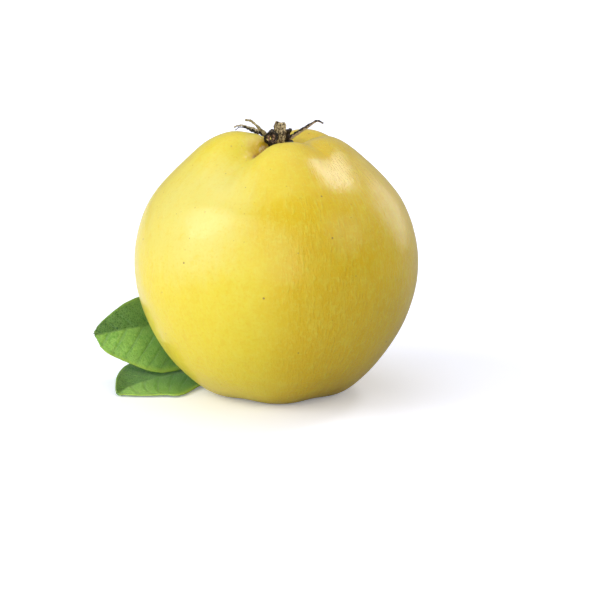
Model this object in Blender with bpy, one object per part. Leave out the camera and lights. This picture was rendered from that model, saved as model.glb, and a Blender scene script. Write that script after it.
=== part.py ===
"""A ripe quince as picked, standing on its stem end with its dry flower parts up.

The fruit grew at the tip of a short leafy shoot, so the stub of that shoot lies in a furrow of
its base and carries two leaves, which lean out to the left and rest on the same surface.
Metres, +Z up, front towards -Y. The origin is under the middle of the whole part.
"""

import math

import bmesh
import bpy
import numpy as np
from mathutils import Quaternion, Vector, noise

MM = 0.001

# --- Fruit -----------------------------------------------------------------------------------
FRUIT_RADIUS = 45.0 * MM
FRUIT_HEIGHT = 83.6 * MM
OUTLINE_STEPS = 50
ROUND_STEPS = 64
FLAT_CUT = 0.8 * MM  # how far the ripe flesh has flattened where it stands

# Half outline of the fruit, from the eye down to the stem: (share of radius, share of height).
HALF_OUTLINE = [
    (0.000, 0.904),
    (0.060, 0.904),
    (0.105, 0.917),
    (0.132, 0.947),
    (0.185, 0.977),
    (0.310, 1.000),
    (0.428, 0.984),
    (0.538, 0.946),
    (0.661, 0.885),
    (0.779, 0.821),
    (0.870, 0.757),
    (0.931, 0.693),
    (0.970, 0.631),
    (0.995, 0.571),
    (1.003, 0.513),
    (0.997, 0.445),
    (0.963, 0.370),
    (0.907, 0.290),
    (0.838, 0.220),
    (0.757, 0.155),
    (0.694, 0.115),
    (0.610, 0.070),
    (0.524, 0.033),
    (0.430, 0.009),
    (0.330, 0.001),
    (0.225, 0.030),
    (0.135, 0.085),
    (0.060, 0.113),
    (0.000, 0.116),
]

# The furrows between the five lobes: direction in degrees, depth at the eye end, and the
# half widths in radians on the clockwise and on the counter-clockwise side.
FURROWS = [
    (-122.0, 5.9 * MM, 0.30, 0.27),
    (-52.0, 1.5 * MM, 0.20, 0.26),
    (22.0, 2.2 * MM, 0.24, 0.22),
    (94.0, 2.4 * MM, 0.26, 0.22),
    (143.0, 1.6 * MM, 0.20, 0.20),
]
# The lobes at the eye end: direction in degrees, and how far each rises over the mean outline.
LOBES = [
    (-86.0, -1.1 * MM),
    (-16.0, -0.7 * MM),
    (58.0, -0.3 * MM),
    (130.0, -2.8 * MM),
    (199.0, 1.2 * MM),
]
# The left lobe reaches in to the dry flower parts: its direction, half width and rise there.
LEFT_SWELL = (188.0, 0.66, 1.9 * MM)
BODY_FURROW = 0.7 * MM
BASE_FURROW = 0.9 * MM
SHOOT_FURROW = 7.0 * MM  # the furrow that the shoot lies in
SHOOT_FURROW_WIDTH = 0.30
SHOOT_FURROW_INDEX = 3
UNEVENNESS = 0.55 * MM
UNEVENNESS_SIZE = 26.0 * MM

# --- Dry flower parts ------------------------------------------------------------------------
EYE = Vector((1.2 * MM, 0.0, 0.0))  # the eye sits a little off the middle of the fruit
TUBE_OUTER = 4.3 * MM
TUBE_INNER = 3.0 * MM
TUBE_FLOOR = 1.0 * MM
TUBE_BOTTOM = 76.1 * MM
TUBE_HEIGHT = 4.2 * MM
STAMENS = 14
STAMEN_RADIUS = 0.24 * MM
STAMEN_HEIGHTS = (6.2, 4.4, 5.5, 4.9)
STAMEN_LEANS = (1.1, 0.7, 1.3, 0.9)
THREAD_STEPS = (0.0, 0.4, 0.8, 0.85, 0.94, 1.0)  # the last three are its knob
STYLES = 5
STYLE_RADIUS = 0.24 * MM
STYLE_HEIGHTS = (5.4, 6.2, 5.0)
STYLE_LEANS = (0.1, 0.3)
GAP = 0.35 * MM  # left between pieces that touch

# Each sepal's midline from the rim of the tube to its tip, then its half widths from base to
# tip, in millimetres from the middle of the tube at the height of the fruit's base. The last
# numbers are the direction its back turns to and how far it is twisted, in degrees.
SEPALS = {
    "sepal_left_low": (
        [
            (-3.9, 1.0, 81.1),
            (-5.3, 0.9, 82.1),
            (-7.1, 0.7, 82.9),
            (-9.6, 0.5, 83.8),
            (-11.3, 0.4, 84.5),
            (-12.8, 0.4, 84.5),
            (-14.3, 0.4, 83.8),
        ],
        (0.60, 0.75, 0.80, 0.70, 0.55, 0.45, 0.30),
        180.0,
        -62.0,
    ),
    "sepal_left_high": (
        [
            (-3.7, -1.6, 81.0),
            (-4.8, -1.6, 82.4),
            (-6.4, -1.5, 84.0),
            (-7.8, -1.4, 85.3),
            (-9.3, -1.3, 86.4),
            (-10.9, -1.3, 86.6),
        ],
        (0.55, 0.60, 0.48, 0.38, 0.32, 0.25),
        180.0,
        -75.0,
    ),
    "sepal_upright": (
        [(0.2, -5.0, 80.0), (0.0, -5.0, 82.0), (-0.1, -4.8, 83.8), (0.0, -4.4, 85.3), (0.8, -3.9, 86.7)],
        (1.4, 2.0, 2.3, 2.2, 1.3),
        -90.0,
        0.0,
    ),
    "sepal_right": (
        [
            (2.6, -2.9, 81.0),
            (4.4, -3.1, 82.4),
            (7.4, -2.8, 84.2),
            (9.6, -2.3, 85.5),
            (11.2, -1.9, 86.4),
            (12.3, -1.7, 86.2),
            (13.4, -1.6, 85.6),
        ],
        (0.55, 0.70, 0.62, 0.50, 0.38, 0.34, 0.25),
        0.0,
        62.0,
    ),
    "sepal_rolled": (
        [
            (-3.8, -4.1, 80.2),
            (-4.5, -5.6, 81.1),
            (-4.3, -6.9, 82.6),
            (-3.1, -7.1, 84.0),
            (-1.6, -7.1, 83.7),
            (-1.1, -7.1, 82.2),
            (-2.2, -7.0, 81.1),
            (-3.3, -7.0, 81.9),
            (-3.1, -7.0, 82.9),
            (-2.3, -7.0, 82.7),
        ],
        (0.8, 0.9, 1.0, 1.1, 1.1, 1.1, 1.05, 1.0, 0.9, 0.7),
        180.0,
        0.0,
    ),
}
SEPAL_THICKNESS = 0.55 * MM

# --- Shoot and leaves ------------------------------------------------------------------------
SHOOT_PATH = [
    (0.0, 0.0, 7.6),
    (0.1, 1.6, 5.3),
    (0.0, 6.0, 3.3),
    (-0.6, 13.0, 2.5),
    (-1.2, 21.0, 2.6),
    (-2.2, 31.0, 3.9),
    (-3.6, 42.0, 6.6),
]
SHOOT_RADII = (1.3, 1.6, 1.75, 1.8, 1.9, 2.1, 2.2)

LEAF_THICKNESS = 0.5 * MM
MIDRIB_RISE = 0.8 * MM
PETIOLE_HALF_WIDTH = 0.8 * MM
PETIOLE_THICKNESS = 1.5 * MM
LEAF_STEPS = 30
LEAF_CROWDING = 1.5  # steps lie closer together towards the tip, which is round
LEAF_HALF_STEPS = 6

# Each leaf: the midline from the foot of its stalk to its tip, the greatest width of the blade
# on its front and on its back side, where along the midline the blade starts, from foot to tip
# the slopes in degrees of the front side (falling) and of the back side (rising), and the
# outline of each side: (share of the blade's length from the stalk, share of its width).
LEAVES = {
    "leaf_upper": {
        "midline": [
            (-4.9, 29.6, 5.0),
            (-8.5, 35.5, 8.8),
            (-15.5, 38.5, 12.6),
            (-26.0, 32.0, 15.2),
            (-37.0, 22.5, 16.8),
            (-47.8, 15.0, 16.8),
            (-58.7, 8.8, 15.3),
        ],
        "widths": (19.0, 12.5),
        "blade_from": 0.13,
        "front_slopes": (38.0, 46.0, 50.0),
        "back_slopes": (52.0, 70.0, 80.0),
        "outlines": (
            [(0.0, 0.05), (0.06, 0.30), (0.15, 0.50), (0.28, 0.68), (0.45, 0.86), (0.58, 0.96), (0.69, 0.98),
             (0.78, 0.88), (0.86, 0.69), (0.93, 0.50), (0.965, 0.39), (0.985, 0.29), (0.995, 0.18),
             (1.0, 0.05)],
            [(0.0, 0.06), (0.06, 0.42), (0.15, 0.72), (0.28, 0.93), (0.45, 1.0), (0.62, 0.98), (0.73, 0.90),
             (0.80, 0.78), (0.86, 0.62), (0.91, 0.48), (0.95, 0.36), (0.98, 0.24), (0.993, 0.14), (1.0, 0.04)],
        ),
    },
    "leaf_lower": {
        "midline": [
            (-6.6, 39.6, 6.0),
            (-11.8, 37.6, 4.2),
            (-20.5, 28.0, 2.6),
            (-31.3, 14.2, 2.3),
            (-40.8, 5.2, 2.0),
            (-46.5, -1.4, 1.6),
            (-49.9, -8.5, 1.0),
        ],
        "widths": (18.0, 13.0),
        "blade_from": 0.15,
        "front_slopes": (8.0, 5.0, 4.0, 1.0),
        "back_slopes": (14.0, 11.0, 11.0, 17.0, 38.0),
        "outlines": (
            [(0.0, 0.05), (0.06, 0.28), (0.15, 0.46), (0.28, 0.57), (0.40, 0.63), (0.50, 0.71), (0.58, 0.82),
             (0.65, 0.92), (0.72, 0.99), (0.79, 1.0), (0.86, 0.91), (0.92, 0.73), (0.96, 0.51), (0.985, 0.30),
             (0.995, 0.16), (1.0, 0.04)],
            [(0.0, 0.06), (0.06, 0.36), (0.15, 0.58), (0.28, 0.72), (0.45, 0.84), (0.62, 0.96), (0.72, 1.0),
             (0.79, 0.92), (0.85, 0.70), (0.90, 0.47), (0.95, 0.26), (0.98, 0.15), (0.993, 0.09), (1.0, 0.03)],
        ),
    },
}
BUD_PLACES = {"bud_upper": (0.80, 1.0), "bud_lower": (0.93, 1.0)}
BUD_LENGTH = 3.2 * MM
BUD_RADIUS = 1.0 * MM


def clear_scene():
    for obj in list(bpy.data.objects):
        bpy.data.objects.remove(obj)


def finish(name, color, roughness):
    """A plain finish: the piece's own colour and roughness."""
    material = bpy.data.materials.new(name)
    material.use_nodes = True
    shader = material.node_tree.nodes["Principled BSDF"]
    shader.inputs["Base Color"].default_value = (*color, 1.0)
    shader.inputs["Roughness"].default_value = roughness
    shader.inputs["Metallic"].default_value = 0.0
    return material


def object_from(name, bm, material):
    """A named, smooth shaded object in the scene, with its faces pointing out."""
    bmesh.ops.recalc_face_normals(bm, faces=bm.faces)
    mesh = bpy.data.meshes.new(name)
    bm.to_mesh(mesh)
    bm.free()
    mesh.shade_smooth()
    mesh.materials.append(material)
    obj = bpy.data.objects.new(name, mesh)
    bpy.context.scene.collection.objects.link(obj)
    return obj


def smooth_step(low, high, value):
    share = min(max((value - low) / (high - low), 0.0), 1.0)
    return share * share * (3.0 - 2.0 * share)


def smooth_line(points, count, crowding=1.0):
    """count points along the smooth curve through the given ones, evenly spaced, or closer
    together towards its end where crowding is over 1."""
    points = np.array(points, float)
    padded = np.vstack([2 * points[0] - points[1], points, 2 * points[-1] - points[-2]])
    fine = []
    for before, start, end, after in zip(padded, padded[1:], padded[2:], padded[3:]):
        for share in np.linspace(0.0, 1.0, 24, endpoint=False):
            fine.append(
                start
                + 0.5 * share * (end - before)
                + share**2 * (before - 2.5 * start + 2.0 * end - 0.5 * after)
                + share**3 * (1.5 * (start - end) + 0.5 * (after - before))
            )
    fine.append(points[-1])
    fine = np.array(fine)
    along = np.concatenate([[0.0], np.cumsum(np.linalg.norm(np.diff(fine, axis=0), axis=1))])
    wanted = along[-1] * (1.0 - (1.0 - np.linspace(0.0, 1.0, count)) ** crowding)
    return np.stack([np.interp(wanted, along, fine[:, k]) for k in range(points.shape[1])], axis=1)


def along_values(values, share):
    """The value at this share of the way through a short list of evenly spaced values."""
    return float(np.interp(share, np.linspace(0.0, 1.0, len(values)), values))


# --- Fruit -----------------------------------------------------------------------------------


def angle_between(direction, other):
    """Signed turn from other to direction, in radians, from -pi to pi."""
    return (direction - other + math.pi) % (2.0 * math.pi) - math.pi


def furrow_depth(azimuth, share):
    """How deep the furrows are at this direction, and this share of the way from eye to stem."""
    at_eye = smooth_step(0.030, 0.12, share) * (1.0 - smooth_step(0.14, 0.36, share))
    on_body = math.sin(math.pi * share)
    at_base = smooth_step(0.66, 0.82, share) * (1.0 - smooth_step(0.95, 0.995, share))
    depth = 0.0
    for index, (degrees, eye_depth, width_before, width_after) in enumerate(FURROWS):
        turn = angle_between(azimuth, math.radians(degrees))
        width = width_after if turn > 0.0 else width_before
        crease = math.exp(-((abs(turn) / width) ** 1.5))
        hollow = math.exp(-((turn / 0.42) ** 2))
        depth += at_eye * eye_depth * crease + on_body * BODY_FURROW * hollow
        if index == SHOOT_FURROW_INDEX:
            depth += at_base * SHOOT_FURROW * math.exp(-((turn / SHOOT_FURROW_WIDTH) ** 2))
        else:
            depth += at_base * BASE_FURROW * hollow
    return depth


def lobe_rise(azimuth, share):
    """How far the lobe in this direction stands over the mean outline at the eye end."""
    at_eye = smooth_step(0.03, 0.12, share) * (1.0 - smooth_step(0.16, 0.40, share))
    rise = 0.0
    for degrees, lobe in LOBES:
        turn = angle_between(azimuth, math.radians(degrees))
        rise += lobe * math.exp(-((turn / 0.55) ** 2))
    return rise * at_eye


def left_swell(azimuth, radius):
    """How far the left lobe is lifted beside the eye."""
    degrees, half_width, rise = LEFT_SWELL
    turn = angle_between(azimuth, math.radians(degrees))
    beside = smooth_step(4.5 * MM, 6.0 * MM, radius) * (1.0 - smooth_step(6.2 * MM, 11.5 * MM, radius))
    return rise * beside * math.exp(-(abs(turn / half_width) ** 3))


def make_fruit(material):
    """The half outline turned round the axis, then pressed in along the furrows."""
    outline = smooth_line(HALF_OUTLINE, OUTLINE_STEPS)
    outline[0, 0] = outline[-1, 0] = 0.0
    slope = np.gradient(outline * [FRUIT_RADIUS, FRUIT_HEIGHT], axis=0)
    slope /= np.linalg.norm(slope, axis=1)[:, None]

    bm = bmesh.new()
    layer = bm.verts.layers.int.new("step")
    profile = []
    for index, (radius, height) in enumerate(outline):
        point = bm.verts.new((radius * FRUIT_RADIUS, 0.0, height * FRUIT_HEIGHT))
        point[layer] = index
        profile.append(point)
    edges = [bm.edges.new(pair) for pair in zip(profile, profile[1:])]
    bmesh.ops.spin(
        bm,
        geom=profile + edges,
        cent=(0.0, 0.0, 0.0),
        axis=(0.0, 0.0, 1.0),
        angle=2.0 * math.pi,
        steps=ROUND_STEPS,
        use_merge=True,
    )
    bmesh.ops.remove_doubles(bm, verts=bm.verts, dist=0.01 * MM)
    for point in bm.verts:
        index = point[layer]
        share = index / (OUTLINE_STEPS - 1)
        azimuth = math.atan2(point.co.y, point.co.x)
        # Out of the flesh, square to the outline.
        outward, upward = -slope[index][1], slope[index][0]
        swell = lobe_rise(azimuth, share) - furrow_depth(azimuth, share)
        swell += UNEVENNESS * noise.noise(point.co / UNEVENNESS_SIZE) * math.sin(math.pi * share)
        point.co.x += swell * outward * math.cos(azimuth)
        point.co.y += swell * outward * math.sin(azimuth)
        point.co.z += swell * upward
        if share < 0.3:
            point.co.z += left_swell(azimuth, outline[index, 0] * FRUIT_RADIUS)
        near_eye = 1.0 - smooth_step(0.08, 0.40, share)
        point.co += EYE * near_eye
    floor = min(point.co.z for point in bm.verts) + FLAT_CUT
    for point in bm.verts:
        point.co.z = max(point.co.z - floor, 0.0)
    return object_from("fruit", bm, material)


# --- Dry flower parts ------------------------------------------------------------------------


def make_tube(material):
    """The short woody cup at the bottom of the eye, turned round its axis."""
    section = [
        (0.0, 0.0),
        (TUBE_OUTER * 0.72, 0.0),
        (TUBE_OUTER * 0.93, TUBE_HEIGHT * 0.35),
        (TUBE_OUTER, TUBE_HEIGHT * 0.9),
        ((TUBE_OUTER + TUBE_INNER) / 2.0, TUBE_HEIGHT),
        (TUBE_INNER, TUBE_HEIGHT * 0.85),
        (TUBE_INNER * 0.96, TUBE_FLOOR * 1.3),
        (TUBE_INNER * 0.80, TUBE_FLOOR),
        (0.0, TUBE_FLOOR),
    ]
    bm = bmesh.new()
    profile = [bm.verts.new((radius, 0.0, height)) for radius, height in section]
    edges = [bm.edges.new(pair) for pair in zip(profile, profile[1:])]
    bmesh.ops.spin(
        bm,
        geom=profile + edges,
        cent=(0.0, 0.0, 0.0),
        axis=(0.0, 0.0, 1.0),
        angle=2.0 * math.pi,
        steps=20,
        use_merge=True,
    )
    bmesh.ops.remove_doubles(bm, verts=bm.verts, dist=0.01 * MM)
    tube = object_from("calyx_tube", bm, material)
    tube.location = EYE + Vector((0.0, 0.0, TUBE_BOTTOM))
    return tube


def make_thread(name, points, radii, material, resolution=1):
    """A round tapering thread through the points, with closed ends."""
    curve = bpy.data.curves.new(name, "CURVE")
    curve.dimensions = "3D"
    curve.bevel_depth = 1.0
    curve.bevel_resolution = resolution
    curve.use_fill_caps = True
    spline = curve.splines.new("POLY")
    spline.points.add(len(points) - 1)
    for place, point, radius in zip(spline.points, points, radii):
        place.co = (*point, 1.0)
        place.radius = radius
    curve.materials.append(material)
    thread = bpy.data.objects.new(name, curve)
    bpy.context.scene.collection.objects.link(thread)
    return thread


def make_threads(kind, count, ring, radius, heights, leans, knob, material):
    """Dry threads in a ring in the tube, each with a knob at its tip. Each leans straight
    outwards, so that none cross."""
    for index in range(count):
        azimuth = 2.0 * math.pi * (index + 0.35) / count
        outwards = Vector((math.cos(azimuth), math.sin(azimuth), 0.0))
        height = heights[index % len(heights)] * MM
        lean = leans[index % len(leans)] * MM
        foot = EYE + Vector((0.0, 0.0, TUBE_BOTTOM + TUBE_FLOOR + GAP))
        points = []
        radii = []
        for share, girth in zip(THREAD_STEPS, (1.0, 1.0, 0.9, 0.8 * knob, knob, 0.6 * knob)):
            out = outwards * (ring + lean * share**2)
            points.append(foot + out + Vector((0.0, 0.0, height * share)))
            radii.append(radius * girth)
        make_thread(f"{kind}_{index + 1:02d}", points, radii, material)


def cross_frame(line, index):
    """(along, level, upright) at this step of a line: level is square to it and horizontal."""
    before, after = line[max(index - 1, 0)], line[min(index + 1, len(line) - 1)]
    along = Vector(after - before).normalized()
    level = along.cross(Vector((0.0, 0.0, 1.0)))
    level = level.normalized() if level.length > 0.05 else Vector((0.0, -1.0, 0.0))
    return along, level, level.cross(along).normalized()


def skin_over(bm, rings):
    """Closes a row of rings of points, each with as many points as the next, into one skin."""
    rows = [[bm.verts.new(point) for point in ring] for ring in rings]
    for row, after in zip(rows, rows[1:]):
        for index in range(len(row)):
            following = (index + 1) % len(row)
            bm.faces.new((row[index], row[following], after[following], after[index]))
    bm.faces.new(rows[0])
    bm.faces.new(reversed(rows[-1]))


def make_sepal(name, midline, half_widths, facing, twist, material):
    """A dry strip with a gently rolled section, widest near its base."""
    steps = 3 * len(midline) - 2
    line = smooth_line(np.array(midline) * MM, steps) + np.array(EYE)
    facing = math.radians(facing)
    level = Vector((math.sin(facing), -math.cos(facing), 0.0))
    rings = []
    for index, centre in enumerate(line):
        share = index / (steps - 1)
        half = along_values(half_widths, share) * MM
        along = Vector(line[min(index + 1, steps - 1)] - line[max(index - 1, 0)]).normalized()
        across = (level - along * along.dot(level)).normalized()
        across = Quaternion(along, math.radians(twist)) @ across
        face = across.cross(along)
        ring = []
        for side in (1.0, -1.0):
            for step in np.linspace(-1.0, 1.0, 5)[:: int(side)]:
                thick = SEPAL_THICKNESS * (1.0 - 0.35 * step**2) * min(1.0, half / (0.5 * MM))
                place = Vector(centre) + across * half * step
                place -= face * (0.25 * half * step**2)
                ring.append(place + face * (side * thick / 2.0))
        rings.append(ring)
    bm = bmesh.new()
    skin_over(bm, rings)
    return object_from(name, bm, material)


# --- Shoot and leaves ------------------------------------------------------------------------


def shoot_line():
    return smooth_line(np.array(SHOOT_PATH) * MM, 22)


def make_shoot(material):
    line = shoot_line()
    radii = [along_values(SHOOT_RADII, i / (len(line) - 1)) * MM for i in range(len(line))]
    return make_thread("shoot", line, radii, material, resolution=3)


def make_bud(name, share, side, material):
    """A small pointed bud lying against the shoot, over a leaf's stalk."""
    line = shoot_line()
    index = round(share * (len(line) - 1))
    along, level, upright = cross_frame(line, index)
    radius = along_values(SHOOT_RADII, share) * MM
    out = (upright * 0.9 - level * 0.45 * side).normalized()
    foot = Vector(line[index]) + out * (radius + GAP + BUD_RADIUS * 0.8)
    points = []
    radii = []
    for step in (0.0, 0.2, 0.45, 0.7, 0.9, 1.0):
        points.append(foot + along * BUD_LENGTH * step + out * (0.5 * MM * step))
        radii.append(BUD_RADIUS * (0.55, 0.95, 1.0, 0.75, 0.35, 0.12)[len(radii)])
    return make_thread(name, points, radii, material, resolution=2)


def blade_width(share, blade_from, width, outline):
    """How far the blade reaches to one side, in metres, at this share of the midline."""
    if share <= blade_from:
        return PETIOLE_HALF_WIDTH
    blade = (share - blade_from) / (1.0 - blade_from)
    along, across = np.array(outline).T
    return max(width * MM * float(np.interp(blade, along, across)), PETIOLE_HALF_WIDTH * (1.0 - blade))


def make_leaf(name, leaf, material):
    """Stalk and blade in one skin. The blade folds up along its midrib in a shallow V."""
    line = smooth_line(np.array(leaf["midline"]) * MM, LEAF_STEPS, LEAF_CROWDING)
    rings = []
    for index, centre in enumerate(line):
        share = 1.0 - (1.0 - index / (LEAF_STEPS - 1)) ** LEAF_CROWDING
        along, level, upright = cross_frame(line, index)
        if level.y > 0.0:
            level, upright = -level, upright
        sides = zip(leaf["widths"], leaf["outlines"])
        widths = [max(blade_width(share, leaf["blade_from"], *side), 0.25 * MM) for side in sides]
        opened = smooth_step(leaf["blade_from"] - 0.02, leaf["blade_from"] + 0.12, share)
        front = math.radians(along_values(leaf["front_slopes"], share)) * opened
        back = math.radians(along_values(leaf["back_slopes"], share)) * opened
        front_way = level * math.cos(front) - upright * math.sin(front)
        back_way = -level * math.cos(back) + upright * math.sin(back)
        facing = (along.cross(front_way - back_way)).normalized()
        if facing.z < 0.0:
            facing = -facing
        top = []
        under = []
        for step in np.linspace(-1.0, 1.0, 2 * LEAF_HALF_STEPS + 1):
            way = front_way if step > 0.0 else back_way
            reach = abs(step) * widths[0 if step > 0.0 else 1]
            # The fold along the midrib is a little rounded.
            place = Vector(centre) + way * (math.hypot(reach, 1.2 * MM) - 1.2 * MM)
            rib = math.exp(-((reach / (0.9 * MM)) ** 2))
            stalk = (1.0 - opened) * (PETIOLE_THICKNESS - LEAF_THICKNESS)
            stalk *= math.sqrt(max(1.0 - step * step, 0.1))
            thick = LEAF_THICKNESS + opened * MIDRIB_RISE * (1.0 - share) * rib + stalk
            top.append(place)
            under.append(place - facing * thick)
        rings.append(top + under[::-1])
    bm = bmesh.new()
    skin_over(bm, rings)
    return object_from(name, bm, material)


def centre_on_floor():
    """Moves the whole part so that the middle of its box is over the origin."""
    bpy.context.view_layer.update()
    graph = bpy.context.evaluated_depsgraph_get()
    corners = []
    for obj in bpy.data.objects:
        shown = obj.evaluated_get(graph)
        mesh = shown.to_mesh()
        corners += [shown.matrix_world @ vertex.co for vertex in mesh.vertices]
        shown.to_mesh_clear()
    corners = np.array(corners)
    middle = (corners.min(axis=0) + corners.max(axis=0)) / 2.0
    shift = Vector((-middle[0], -middle[1], -corners[:, 2].min()))
    for obj in bpy.data.objects:
        obj.location += shift


def main():
    clear_scene()
    skin = finish("quince_skin", (0.80, 0.60, 0.07), 0.40)
    dry = finish("dry_brown", (0.12, 0.08, 0.04), 0.80)
    dark = finish("dry_dark", (0.03, 0.02, 0.015), 0.85)
    bark = finish("bark", (0.17, 0.11, 0.06), 0.75)
    green = finish("leaf_green", (0.10, 0.27, 0.04), 0.50)

    make_fruit(skin)
    make_tube(dark)
    for name, (midline, half_widths, facing, twist) in SEPALS.items():
        make_sepal(name, midline, half_widths, facing, twist, dry)
    make_threads("stamen", STAMENS, 2.1 * MM, STAMEN_RADIUS, STAMEN_HEIGHTS, STAMEN_LEANS, 2.0, dark)
    make_threads("style", STYLES, 0.85 * MM, STYLE_RADIUS, STYLE_HEIGHTS, STYLE_LEANS, 1.3, dark)
    make_shoot(bark)
    for name, (share, side) in BUD_PLACES.items():
        make_bud(name, share, side, bark)
    for name, leaf in LEAVES.items():
        make_leaf(name, leaf, green)
    centre_on_floor()


main()
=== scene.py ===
"""The looks of a ripe quince standing on its stem end, with two leaves behind it.

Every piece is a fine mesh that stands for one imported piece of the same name.
Metres, +Z up, front towards -Y.
"""

import math

import bmesh
import bpy
import numpy as np
from mathutils import Matrix, Quaternion, Vector

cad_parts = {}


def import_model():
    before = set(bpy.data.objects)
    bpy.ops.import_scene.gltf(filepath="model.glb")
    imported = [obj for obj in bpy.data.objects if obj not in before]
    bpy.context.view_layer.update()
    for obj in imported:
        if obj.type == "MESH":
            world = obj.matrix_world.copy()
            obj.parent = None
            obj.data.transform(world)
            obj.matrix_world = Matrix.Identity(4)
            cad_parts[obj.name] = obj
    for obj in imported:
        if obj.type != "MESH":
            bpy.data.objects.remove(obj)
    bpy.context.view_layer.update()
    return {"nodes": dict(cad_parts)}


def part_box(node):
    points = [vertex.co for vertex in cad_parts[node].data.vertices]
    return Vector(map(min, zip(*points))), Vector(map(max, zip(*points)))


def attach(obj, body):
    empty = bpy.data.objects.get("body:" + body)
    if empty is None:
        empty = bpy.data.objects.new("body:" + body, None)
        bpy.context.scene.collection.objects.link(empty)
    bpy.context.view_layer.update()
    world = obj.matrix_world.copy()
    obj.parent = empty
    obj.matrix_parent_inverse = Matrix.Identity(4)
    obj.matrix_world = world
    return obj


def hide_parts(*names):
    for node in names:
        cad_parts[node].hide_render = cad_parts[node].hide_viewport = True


MM = 0.001
MERGE_WITHIN = 0.002 * MM
FINE_LEVELS = 2
LEAST_WEIGHT = 0.001
LINE_STEPS = 24  # between two given points of a smooth line
WHITE = (1.0, 1.0, 1.0)

# --- Camera and light ------------------------------------------------------------------------
CAMERA_ELEVATION = math.radians(12.0)
CAMERA_DISTANCE = 600.0 * MM
VIEW_WIDTH = 190.2 * MM  # at the aim
SENSOR_WIDTH = 36.0
CLIP_START = 10.0 * MM
AIM_FROM_FRUIT = (7.45 * MM, -54.25 * MM)  # right of the fruit's middle, and down from its top

# Each light's direction from the fruit, its strength and how many degrees it spans.
LIGHTS = [
    ("left_softbox", (-0.78, -0.22, 0.59), 0.74, 34.0),
    ("front_fill", (-0.50, -0.86, 0.04), 2.90, 104.0),
    ("top_softbox", (-0.16, 0.15, 0.97), 0.46, 50.0),
    ("right_fill", (0.35, -0.90, 0.26), 0.24, 60.0),
    ("right_panel", (0.82, -0.31, 0.48), 0.30, 30.0),
    ("back_strip", (0.50, 0.37, 0.785), 0.54, 13.5),
    ("edge_strip", (0.72, 0.64, 0.28), 0.44, 32.0),
]
WALL_GLOW = (0.07, 0.40)  # strength of the dim and of the bright side of the room
BRIGHTEST_WALL = (-0.35, 0.75, 0.30)
WALL_SPAN = 0.9  # how far a direction faces the brightest wall where the glow is full

FLOOR_RADIUS = 8.0
FLOOR_CORNERS = 96
FLOOR_HAZE = 0.6  # size of its faint clouds
FLOOR_SEEN = ((0.965, 0.985, 1.11), (0.975, 0.995, 1.12))  # its two tones for the camera
FLOOR_GLOW = 0.20
CARD_EDGES = (-50.0 * MM, 45.0 * MM)  # where the white card ends and the grey one begins
CARD_TONES = (0.95, 0.42)

# --- Fruit -----------------------------------------------------------------------------------
# How far below the fruit's top all that is round the eye sets in, and where it is full.
EYE_BAND = (34.0 * MM, 18.0 * MM)

# The fine crease at the bottom of each furrow: its direction in degrees, how far out it
# reaches, its depth and its width.
CREASES = [
    (-122.0, 23.0 * MM, 0.8 * MM, 1.2 * MM),
    (-52.0, 13.0 * MM, 0.35 * MM, 1.1 * MM),
    (22.0, 16.0 * MM, 0.35 * MM, 1.6 * MM),
    (94.0, 15.0 * MM, 0.5 * MM, 1.2 * MM),
    (143.0, 14.0 * MM, 0.45 * MM, 1.2 * MM),
]
DEEPEST_CREASE = max(crease[2] for crease in CREASES)
CREASE_START = (3.0 * MM, 5.5 * MM)  # from the middle of the eye
CREASE_FADE = (0.35, 1.0)  # shares of its reach
CREASE_TURN = 0.9  # radians to each side, past which there is nothing of a crease
CREASE_WAIST = 0.7  # share of its width that it has at the middle of the eye
CREASE_FLARE = 90.0  # and how much more of it for each metre outwards
STAIN_WIDTH = 1.1  # times the crease's width
STAIN_FADE = (0.5, 0.95)

# Beside the deepest crease: how far off the strip of dry skin lies and how wide it is, how
# wide the warm tint is, and where each of them ends, from the middle of the eye.
DRY_STRIP = (1.4 * MM, 0.8 * MM)
DRY_END = (8.0 * MM, 14.0 * MM)
WARM_WIDTH = 6.5 * MM
WARM_TURN = 1.2
WARM_END = (9.0 * MM, 24.0 * MM)
EYE_STAIN = 0.9
EYE_STAIN_END = (4.6 * MM, 6.6 * MM)

# The edge of the left lobe is pushed over the eye. Its direction and spread are in degrees,
# and from the middle of the eye the push begins, is full and ends at these distances.
LOBE_EDGE_DIRECTION = -152.0
LOBE_EDGE_SPREAD = 30.0
LOBE_EDGE_SHIFT = 1.3 * MM
LOBE_EDGE_REACH = (4.0 * MM, 5.4 * MM, 24.0 * MM)
LUMPS = (13.0 * MM, 0.35 * MM)  # grain size and height, like every pair that roughen takes

LEMON = (0.82, 0.665, 0.030)
GOLD = (0.78, 0.515, 0.002)
PALE = (0.84, 0.73, 0.070)
# Pale colour of the painted highlight on the shoulder that faces the left lights.
PAINTED_HIGHLIGHT = (0.82, 0.74, 0.22)
WARM = (0.72, 0.46, 0.02)
OCHRE = (0.56, 0.31, 0.02)
RUSSET = (0.36, 0.17, 0.05)
DRY_FLESH = (0.80, 0.64, 0.34)
SPECK = (0.28, 0.13, 0.035)
# Where the painted highlight faces: towards the left and front lights.
PAINTED_HIGHLIGHT_SIDE = (-0.55, -0.62, 0.45)
STREAK_WIDTHS = (1.0 / 16.0, 1.0 / 60.0)  # radians round the fruit, the broad and the fine
STREAK_RISE = 7.0  # radians that count as much as a metre up
SKIN_SHEEN = {
    "Subsurface Weight": 0.22,
    "Subsurface Radius": (1.0, 0.55, 0.12),
    "Subsurface Scale": 3.0 * MM,
    "IOR": 1.45,
    "Sheen Weight": 0.05,
    "Sheen Roughness": 0.45,
    "Sheen Tint": (1.0, 0.96, 0.80, 1.0),
    "Specular IOR Level": 0.30,
    "Coat Weight": 0.65,
    "Coat Roughness": 0.18,
}

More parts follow.
